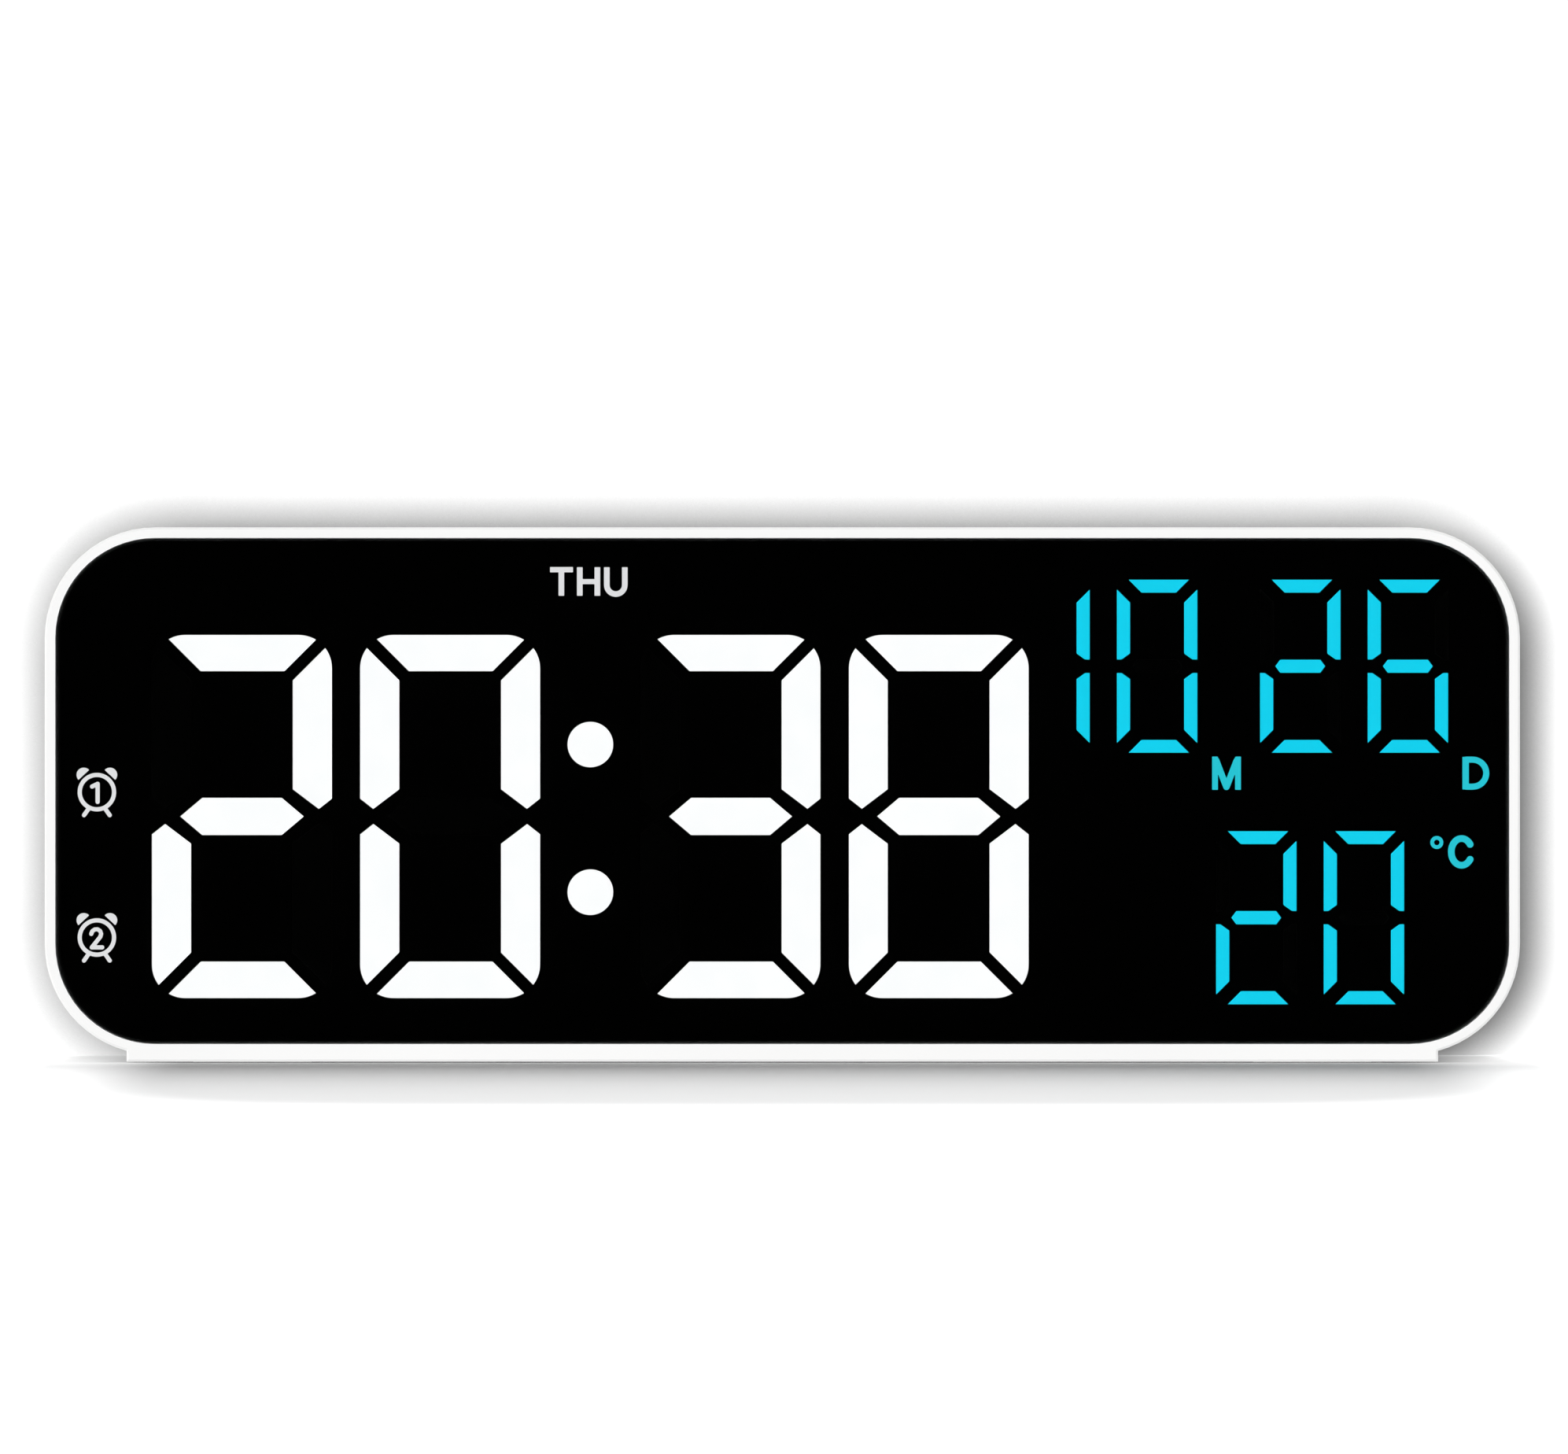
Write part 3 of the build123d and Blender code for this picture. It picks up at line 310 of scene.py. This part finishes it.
# A pattern laid on the object's own coordinates
def placePattern(tree, stretch=(1, 1, 1), turn=(0, 0, 0)):
    place = tree.nodes.new("ShaderNodeTexCoord")
    mapping = tree.nodes.new("ShaderNodeMapping")
    mapping.inputs["Scale"].default_value = stretch
    mapping.inputs["Rotation"].default_value = turn
    tree.links.new(place.outputs["Object"], mapping.inputs["Vector"])
    return mapping.outputs[0]


def addNoise(tree, scale, detail, stretch=(1, 1, 1)):
    noise = tree.nodes.new("ShaderNodeTexNoise")
    noise.inputs["Scale"].default_value = scale
    noise.inputs["Detail"].default_value = detail
    tree.links.new(placePattern(tree, stretch), noise.inputs["Vector"])
    return noise.outputs["Fac"]


# Noise keeps mostly to this middle stretch of 0 to 1
noiseSpan = (0.3, 0.7)


def spreadNoise(tree, noise, low=0.0, high=1.0):
    return mapRange(tree, noise, *noiseSpan, low, high)


def addMix(tree, factor, first, second):
    mix = tree.nodes.new("ShaderNodeMix")
    mix.data_type = "RGBA"
    for name, colour in (("A", first), ("B", second)):
        if isinstance(colour, tuple):
            mix.inputs[name].default_value = (*colour, 1)
        else:
            tree.links.new(colour, mix.inputs[name])
    tree.links.new(factor, mix.inputs["Factor"])
    return mix.outputs["Result"]


def addBump(tree, shader, height, distance, strength=1.0):
    bump = tree.nodes.new("ShaderNodeBump")
    bump.inputs["Strength"].default_value = strength
    bump.inputs["Distance"].default_value = distance
    tree.links.new(height, bump.inputs["Height"])
    tree.links.new(bump.outputs["Normal"], shader.inputs["Normal"])


# Plastics and rubber out of a mould, by slot
mouldedSetup = {
    "white_case": {"name": "whiteCase", "light": (0.94, 0.94, 0.935), "dark": (0.915, 0.915, 0.91),
                   "roughness": 0.42, "grain": 5200, "depth": mm(0.012)},
    "dark_diffuser": {"name": "darkDiffuser", "light": (0.0012, 0.0012, 0.0013),
                      "dark": (0.0006, 0.0006, 0.0006), "roughness": 0.5, "grain": 3000,
                      "depth": mm(0.004), "specular": 0.1},
    "black_reflector": {"name": "blackReflector", "light": (0.02, 0.02, 0.02),
                        "dark": (0.014, 0.014, 0.014), "roughness": 0.6, "grain": 2600, "depth": mm(0.02)},
    "led_package": {"name": "ledPackage", "light": (0.86, 0.82, 0.6), "dark": (0.8, 0.72, 0.38),
                    "roughness": 0.35, "grain": 1500, "depth": mm(0.01)},
    "black_package": {"name": "blackPackage", "light": (0.028, 0.028, 0.03), "dark": (0.02, 0.02, 0.021),
                      "roughness": 0.55, "grain": 4200, "depth": mm(0.02)},
    "sensor_epoxy": {"name": "sensorEpoxy", "light": (0.05, 0.035, 0.025), "dark": (0.03, 0.022, 0.016),
                     "roughness": 0.2, "grain": 900, "depth": mm(0.02)},
    "grey_button": {"name": "greyButton", "light": (0.78, 0.78, 0.775), "dark": (0.74, 0.74, 0.735),
                    "roughness": 0.5, "grain": 4200, "depth": mm(0.01)},
    "switch_plunger": {"name": "switchPlunger", "light": (0.07, 0.07, 0.07), "dark": (0.05, 0.05, 0.05),
                       "roughness": 0.45, "grain": 3800, "depth": mm(0.01)},
    "pad_rubber": {"name": "padRubber", "light": (0.5, 0.5, 0.5), "dark": (0.42, 0.42, 0.42),
                   "roughness": 0.8, "grain": 2800, "depth": mm(0.03)},
}


# A fine spark-eroded grain, with slow drifts of shade and gloss
def makeMoulded(setup):
    drift = {"shadeScale": 28, "glossScale": 90, "gloss": 0.05}
    roughness = setup["roughness"]
    material, tree, shader = newMaterial(setup["name"], setup["light"], roughness)
    shade = spreadNoise(tree, addNoise(tree, drift["shadeScale"], 3))
    tree.links.new(addMix(tree, shade, setup["light"], setup["dark"]), shader.inputs["Base Color"])
    gloss = addNoise(tree, drift["glossScale"], 4)
    tree.links.new(spreadNoise(tree, gloss, roughness - drift["gloss"], roughness + drift["gloss"]),
                   shader.inputs["Roughness"])
    addBump(tree, shader, addNoise(tree, setup["grain"], 3), setup["depth"])
    if "specular" in setup:    # a diffuser whose lamp is off looks as black as the film around it
        shader.inputs["Specular IOR Level"].default_value = setup["specular"]
    return material


def makeLens():
    lens = {"tint": (0.97, 0.98, 0.98), "roughness": 0.03, "ior": 1.49, "hazeScale": 60,
            "haze": (0.02, 0.045)}
    material, tree, shader = newMaterial("clearLens", lens["tint"], lens["roughness"])
    shader.inputs["Transmission Weight"].default_value = 1
    shader.inputs["IOR"].default_value = lens["ior"]
    haze = spreadNoise(tree, addNoise(tree, lens["hazeScale"], 4), *lens["haze"])
    tree.links.new(haze, shader.inputs["Roughness"])
    return material


def makeFilm():
    film = {"ink": (0.001, 0.001, 0.0012), "inkLow": (0.0006, 0.0006, 0.0008),
            "inkHigh": (0.0014, 0.0014, 0.0017), "inkScale": 45, "roughness": 0.35, "glossScale": 700,
            "gloss": (0.3, 0.42), "specular": 0.1}
    material, tree, shader = newMaterial("blackFilm", film["ink"], film["roughness"])
    shader.inputs["Specular IOR Level"].default_value = film["specular"]
    gloss = spreadNoise(tree, addNoise(tree, film["glossScale"], 2), *film["gloss"])
    tree.links.new(gloss, shader.inputs["Roughness"])
    shade = addMix(tree, addNoise(tree, film["inkScale"], 2), film["inkLow"], film["inkHigh"])
    tree.links.new(shade, shader.inputs["Base Color"])
    return material


def makeTape():
    # Painted shade: "wall" is the darker colour painted into the pits at the cells' middles, "cell" the
    # lighter one at their rims
    tape = {"colour": (0.02, 0.02, 0.02), "wall": (0.012, 0.012, 0.012), "cell": (0.03, 0.03, 0.03),
            "roughness": 0.9, "cellScale": 3200, "depth": mm(0.05)}
    material, tree, shader = newMaterial("foamTape", tape["colour"], tape["roughness"])
    cells = tree.nodes.new("ShaderNodeTexVoronoi")
    cells.inputs["Scale"].default_value = tape["cellScale"]
    tree.links.new(placePattern(tree), cells.inputs["Vector"])
    addBump(tree, shader, cells.outputs["Distance"], tape["depth"])
    # painted shade: the foam's pits, low in the bump, are painted darker than the rims between them
    shade = addMix(tree, cells.outputs["Distance"], tape["wall"], tape["cell"])
    tree.links.new(shade, shader.inputs["Base Color"])
    return material


# A lit diffuser glows evenly, with a faint cloud where its light spreads
def makeLit(name, colour, cloud, strength=1.0):
    lit = {"body": (0.02, 0.02, 0.02), "roughness": 0.4, "cloudScale": 240, "grain": 4000,
           "depth": mm(0.005)}
    material, tree, shader = newMaterial(name, lit["body"], lit["roughness"])
    glow = addMix(tree, spreadNoise(tree, addNoise(tree, lit["cloudScale"], 2)), colour, cloud)
    tree.links.new(glow, shader.inputs["Emission Color"])
    shader.inputs["Emission Strength"].default_value = strength
    addBump(tree, shader, addNoise(tree, lit["grain"], 2), lit["depth"])
    return material


# Green lacquer over rows of copper tracks
def makeBoard():
    board = {"green": (0.012, 0.11, 0.045), "darkGreen": (0.01, 0.095, 0.04), "trace": (0.02, 0.17, 0.07),
             "roughness": 0.38, "trackScale": 160, "trackWidth": 0.11, "depth": mm(0.03), "relief": 0.6}
    material, tree, shader = newMaterial("greenBoard", board["green"], board["roughness"])
    tracks = tree.nodes.new("ShaderNodeTexBrick")
    tracks.inputs["Scale"].default_value = board["trackScale"]
    tracks.inputs["Mortar Size"].default_value = board["trackWidth"]
    for socket, colour in (("Color1", "green"), ("Color2", "darkGreen"), ("Mortar", "trace")):
        tracks.inputs[socket].default_value = (*board[colour], 1)
    tree.links.new(placePattern(tree, turn=(math.pi / 2, 0, 0)), tracks.inputs["Vector"])
    tree.links.new(tracks.outputs["Color"], shader.inputs["Base Color"])
    addBump(tree, shader, tracks.outputs["Fac"], board["depth"], board["relief"])
    return material


# Rolled or drawn metal, with streaks across the axis that is stretched most
metalSetup = {
    "bright_metal": {"name": "springMetal", "light": (0.78, 0.77, 0.74), "dark": (0.62, 0.6, 0.57),
                     "roughness": 0.26, "stretch": (1, 1, 6)},
    "screw_steel": {"name": "screwSteel", "light": (0.5, 0.5, 0.52), "dark": (0.38, 0.38, 0.4),
                    "roughness": 0.33, "stretch": (4, 1, 4)},
}


def makeMetal(setup):
    streaks = {"scale": 900, "smoother": 0.08, "rougher": 0.1, "depth": mm(0.006)}
    roughness = setup["roughness"]
    material, tree, shader = newMaterial(setup["name"], setup["light"], roughness, 1.0)
    streak = addNoise(tree, streaks["scale"], 3, setup["stretch"])
    tree.links.new(addMix(tree, streak, setup["light"], setup["dark"]), shader.inputs["Base Color"])
    gloss = spreadNoise(tree, streak, roughness - streaks["smoother"], roughness + streaks["rougher"])
    tree.links.new(gloss, shader.inputs["Roughness"])
    addBump(tree, shader, streak, streaks["depth"])
    return material


# The film jacket of a cell, dark along most of its length, with bare metal at both ends
def makeJacket(name, side):
    cell = {"length": mm(44.5), "nub": mm(1.2), "rim": mm(0.7), "band": mm(12),
            "dark": (0.03, 0.034, 0.04), "bandColour": (0.62, 0.3, 0.07), "metal": (0.75, 0.75, 0.76),
            "roughness": 0.32, "gloss": (0.26, 0.4), "glossScale": 300, "dentScale": 500,
            "dent": mm(0.01)}
    material, tree, shader = newMaterial(name, cell["dark"], cell["roughness"])
    along = addMath(tree, "MULTIPLY", splitPlace(tree)["X"], float(side))
    positive = cell["length"] / 2 - cell["nub"]
    isBand = addMath(tree, "GREATER_THAN", along, positive - cell["band"])
    printed = addMix(tree, isBand, cell["dark"], cell["bandColour"])
    atTop = addMath(tree, "GREATER_THAN", along, positive - cell["rim"])
    atBottom = addMath(tree, "LESS_THAN", along, -cell["length"] / 2 + cell["rim"])
    isBare = addMath(tree, "MAXIMUM", atTop, atBottom)
    tree.links.new(addMix(tree, isBare, printed, cell["metal"]), shader.inputs["Base Color"])
    tree.links.new(isBare, shader.inputs["Metallic"])
    gloss = spreadNoise(tree, addNoise(tree, cell["glossScale"], 3), *cell["gloss"])
    tree.links.new(gloss, shader.inputs["Roughness"])
    addBump(tree, shader, addNoise(tree, cell["dentScale"], 2), cell["dent"])
    return material


def paintNodes():
    finishes = {
        "clear_lens": makeLens(),
        "black_film": makeFilm(),
        "adhesive_tape": makeTape(),
        "white_light": makeLit("whiteLight", (1, 1, 1), (0.97, 0.98, 0.985), 1.1),
        "cyan_light": makeLit("cyanLight", (0.0055, 0.7, 0.935), (0.005, 0.68, 0.915)),
        "board": makeBoard(),
    }
    for slot, setup in mouldedSetup.items():
        finishes[slot] = makeMoulded(setup)
    for slot, setup in metalSetup.items():
        finishes[slot] = makeMetal(setup)
    # The middle cell lies the other way round
    jackets = {1: makeJacket("cellJacketRight", 1), -1: makeJacket("cellJacketLeft", -1)}
    for part in frame["record"]["subparts"]:
        node = nodes[part["node"]]
        slot = part["material_slot"]
        if slot == "cell_jacket":
            finish = jackets[-1 if part["node"].endswith("_2") else 1]
        else:
            finish = finishes[slot]
        node.data.materials.clear()
        node.data.materials.append(finish)


paintNodes()
# The small words and signs glow less than the digits
signFinishes = {
    "word": makeLit("wordLight", (0.82, 0.82, 0.83), (0.79, 0.79, 0.8)),
    "letter": makeLit("letterLight", (0.022, 0.61, 0.72), (0.02, 0.59, 0.7)),
    "alarm": makeLit("alarmLight", (0.84, 0.84, 0.85), (0.8, 0.8, 0.81)),
}
print("Finishes on", len(nodes), "nodes")


# The lit words and signs are printed into the film, so they lie in the thin gap in front of it.
# They are drawn in millimetres and brought to size at the end, because a voxel can't be so small
signSetup = {
    "nearY": mm(-11.78),
    "farY": mm(-11.72),
    "steps": 14,
    "penSides": 5,
    "ballSides": 20,
    "ballRings": 12,
    "bellSides": 48,
    "voxel": 0.04,
    "keepFaces": 0.3,
    "smoothAngle": 40,
}


def arcPoints(x, z, radiusX, radiusZ, start, end, steps):
    points = []
    for step in range(steps + 1):
        angle = math.radians(start + (end - start) * step / steps)
        points.append((x + radiusX * math.cos(angle), z + radiusZ * math.sin(angle)))
    return points


# The points of a whole ring, for a closed stroke
def ringPoints(x, z, radius, count):
    return arcPoints(x, z, radius, radius, 0, 360 - 360 / count, count - 1)


# A round pen drawn along points in X and Z, with flat ends
def addStroke(points, width, closed=False):
    bpy.ops.curve.primitive_nurbs_path_add(location=(0, 0, 0))
    pen = bpy.context.object
    pen.data.splines.clear()
    spline = pen.data.splines.new("POLY")
    spline.points.add(len(points) - 1)
    for point, (x, z) in zip(spline.points, points):
        point.co = (x, 0, z, 1)
    spline.use_cyclic_u = closed
    pen.data.bevel_depth = width / 2
    pen.data.bevel_resolution = signSetup["penSides"]
    pen.data.use_fill_caps = True
    bpy.ops.object.select_all(action="DESELECT")
    pen.select_set(True)
    bpy.ops.object.convert(target="MESH")
    return bpy.context.object


def addBall(x, z, radius):
    bpy.ops.mesh.primitive_uv_sphere_add(segments=signSetup["ballSides"], ring_count=signSetup["ballRings"],
                                         radius=radius, location=(x, 0, z))
    bpy.ops.object.transform_apply(location=True, rotation=True, scale=True)
    return bpy.context.object


# The same pen with round ends
def penLine(points, width):
    return [addStroke(points, width)] + [addBall(*points[index], width / 2) for index in (0, -1)]


# A bell is a disc cut in half, with its flat side towards the ring
def addBell(x, z, radius, depth, facing):
    bpy.ops.mesh.primitive_cylinder_add(vertices=signSetup["bellSides"], radius=radius, depth=depth,
                                        location=(x, 0, z), rotation=(math.pi / 2, 0, 0))
    bpy.ops.object.transform_apply(location=True, rotation=True, scale=True)
    bell = bpy.context.object
    angle = math.radians(facing)
    bpy.ops.object.mode_set(mode="EDIT")
    bpy.ops.mesh.select_all(action="SELECT")
    bpy.ops.mesh.bisect(plane_co=(x, 0, z), plane_no=(math.cos(angle), 0, math.sin(angle)),
                        use_fill=True, clear_inner=True)
    bpy.ops.object.mode_set(mode="OBJECT")
    return bell


# Joins the strokes into one closed skin, pressed flat into the gap in front of the film
def finishSign(name, strokes, finish):
    setup = signSetup
    bpy.ops.object.select_all(action="DESELECT")
    for stroke in strokes:
        stroke.select_set(True)
    bpy.context.view_layer.objects.active = strokes[0]
    bpy.ops.object.join()
    sign = bpy.context.object
    sign.name = name
    skin = sign.modifiers.new("oneSkin", "REMESH")
    skin.mode = "VOXEL"
    skin.voxel_size = setup["voxel"]
    bpy.ops.object.modifier_apply(modifier="oneSkin")
    fewer = sign.modifiers.new("fewerFaces", "DECIMATE")
    fewer.ratio = setup["keepFaces"]
    bpy.ops.object.modifier_apply(modifier="fewerFaces")
    depth = 2 * max(abs(corner.co.y) for corner in sign.data.vertices)
    press = (setup["farY"] - setup["nearY"]) / depth
    bpy.ops.object.mode_set(mode="EDIT")
    bpy.ops.mesh.select_all(action="SELECT")
    bpy.ops.transform.resize(value=(mm(1), press, mm(1)), center_override=(0, 0, 0))
    bpy.ops.transform.translate(value=(0, (setup["farY"] + setup["nearY"]) / 2, 0))
    bpy.ops.object.mode_set(mode="OBJECT")
    bpy.ops.object.shade_smooth_by_angle(angle=math.radians(setup["smoothAngle"]))
    sign.data.materials.clear()
    sign.data.materials.append(signFinishes[finish])
    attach(sign, "clock")


def makeWeekday():
    word = {"pen": 0.77, "capPen": 0.7315, "barPen": 0.693, "top": 67.2, "bottom": 63.33, "capBar": 66.87,
            "capEnds": (-31.52, -28.41), "capStem": -29.99, "uprights": (-27.49, -25.1), "bar": 65.25,
            "bowlX": -22.6, "bowlZ": 64.78, "bowl": 1.22}
    top, bottom, pen = word["top"], word["bottom"], word["pen"]
    strokes = [addStroke([(x, word["capBar"]) for x in word["capEnds"]], word["capPen"])]
    strokes.append(addStroke([(word["capStem"], word["capBar"]), (word["capStem"], bottom)], pen))
    for x in word["uprights"]:
        strokes.append(addStroke([(x, top), (x, bottom)], pen))
    strokes.append(addStroke([(x, word["bar"]) for x in word["uprights"]], word["barPen"]))
    bowl = arcPoints(word["bowlX"], word["bowlZ"], word["bowl"], word["bowl"], 180, 360, signSetup["steps"])
    left, right = word["bowlX"] - word["bowl"], word["bowlX"] + word["bowl"]
    strokes.append(addStroke([(left, top)] + bowl + [(right, top)], pen))
    finishSign("weekdayWord", strokes, "word")


def makeMonthLetter():
    month = {"pen": 0.8, "slantPen": 0.87, "top": 41.5, "bottom": 37.0, "left": 58.73, "middle": 60.28,
             "right": 61.85, "slant": 0.12, "point": 0.36}
    pen, top, bottom = month["pen"], month["top"], month["bottom"]
    foot = (month["middle"], bottom + month["point"])
    strokes = []
    for x, side in ((month["left"], 1), (month["right"], -1)):
        strokes.append(addStroke([(x, bottom), (x, top)], pen))
        strokes.append(addStroke([(x + side * month["slant"], top - pen / 2), foot], month["slantPen"]))
    strokes.append(addBall(*foot, pen / 2))
    finishSign("monthLetter", strokes, "letter")


def makeDayLetter():
    day = {"pen": 0.84, "stemPen": 0.88, "stemOver": 0.44, "left": 92.74, "right": 95.55, "top": 41.09,
           "bottom": 37.42}
    pen, top, bottom, left = day["pen"], day["top"], day["bottom"], day["left"]
    radius = (top - bottom) / 2
    bowl = arcPoints(day["right"] - radius, bottom + radius, radius, radius, 90, -90, signSetup["steps"])
    over = pen * day["stemOver"]
    strokes = [addStroke([(left, top)] + bowl + [(left, bottom)], pen),
               addStroke([(left, bottom - over), (left, top + over)], day["stemPen"])]
    finishSign("dayLetter", strokes, "letter")


def makeDegree():
    degree = {"ringPen": 0.52, "ringX": 88.83, "ringZ": 29.85, "ring": 0.63, "ringSteps": 24,
              "letterPen": 0.92, "letterX": 92.19, "letterZ": 28.57, "halfWidth": 1.4, "halfHeight": 1.82,
              "mouth": 34}
    ring = ringPoints(degree["ringX"], degree["ringZ"], degree["ring"], degree["ringSteps"])
    strokes = [addStroke(ring, degree["ringPen"], closed=True)]
    letter = arcPoints(degree["letterX"], degree["letterZ"], degree["halfWidth"], degree["halfHeight"],
                       degree["mouth"], 360 - degree["mouth"], 2 * signSetup["steps"])
    strokes += penLine(letter, degree["letterPen"])
    finishSign("degreeSign", strokes, "letter")


# Each number is a list of pen lines, drawn from the middle of its ring
alarmSetup = {
    "firstAlarmSign": {"z": 36.68, "number": [[(0.1, 1.12), (0.1, -1.32)], [(0.1, 1.12), (-0.65, 0.76)]]},
    "secondAlarmSign": {"z": 16.95, "number": [
        [(-0.76, 0.5), (-0.62, 0.86), (-0.28, 1.1), (0.08, 1.12), (0.44, 0.9), (0.58, 0.5), (0.48, 0.12),
         (-0.68, -1.34)],
        [(-0.68, -1.34), (0.72, -1.34)],
    ]},
}


# Both alarm signs are one drawing, with a different number in the ring
def makeAlarmSign(name, z, number):
    clock = {"x": -93.03, "radius": 2.335, "ringSteps": 45, "pen": 0.58, "bell": 0.98, "bellX": 1.78,
             "bellZ": 2.34, "bellTilt": 43, "footTop": (1.16, -2.3), "footEnd": (1.74, -3.12)}
    x, pen = clock["x"], clock["pen"]
    ring = ringPoints(x, z, clock["radius"], clock["ringSteps"])
    strokes = [addStroke(ring, pen, closed=True)]
    for side in (-1, 1):
        strokes.append(addBell(x + side * clock["bellX"], z + clock["bellZ"], clock["bell"], pen,
                               90 - side * clock["bellTilt"]))
        foot = [(x + side * dx, z + dz) for dx, dz in (clock["footTop"], clock["footEnd"])]
        strokes += penLine(foot, pen)
    for line in number:
        strokes += penLine([(x + dx, z + dz) for dx, dz in line], pen)
    finishSign(name, strokes, "alarm")


makeWeekday()
makeMonthLetter()
makeDayLetter()
makeDegree()
for name, setup in alarmSetup.items():
    makeAlarmSign(name, setup["z"], setup["number"])
print("Words and signs lit")
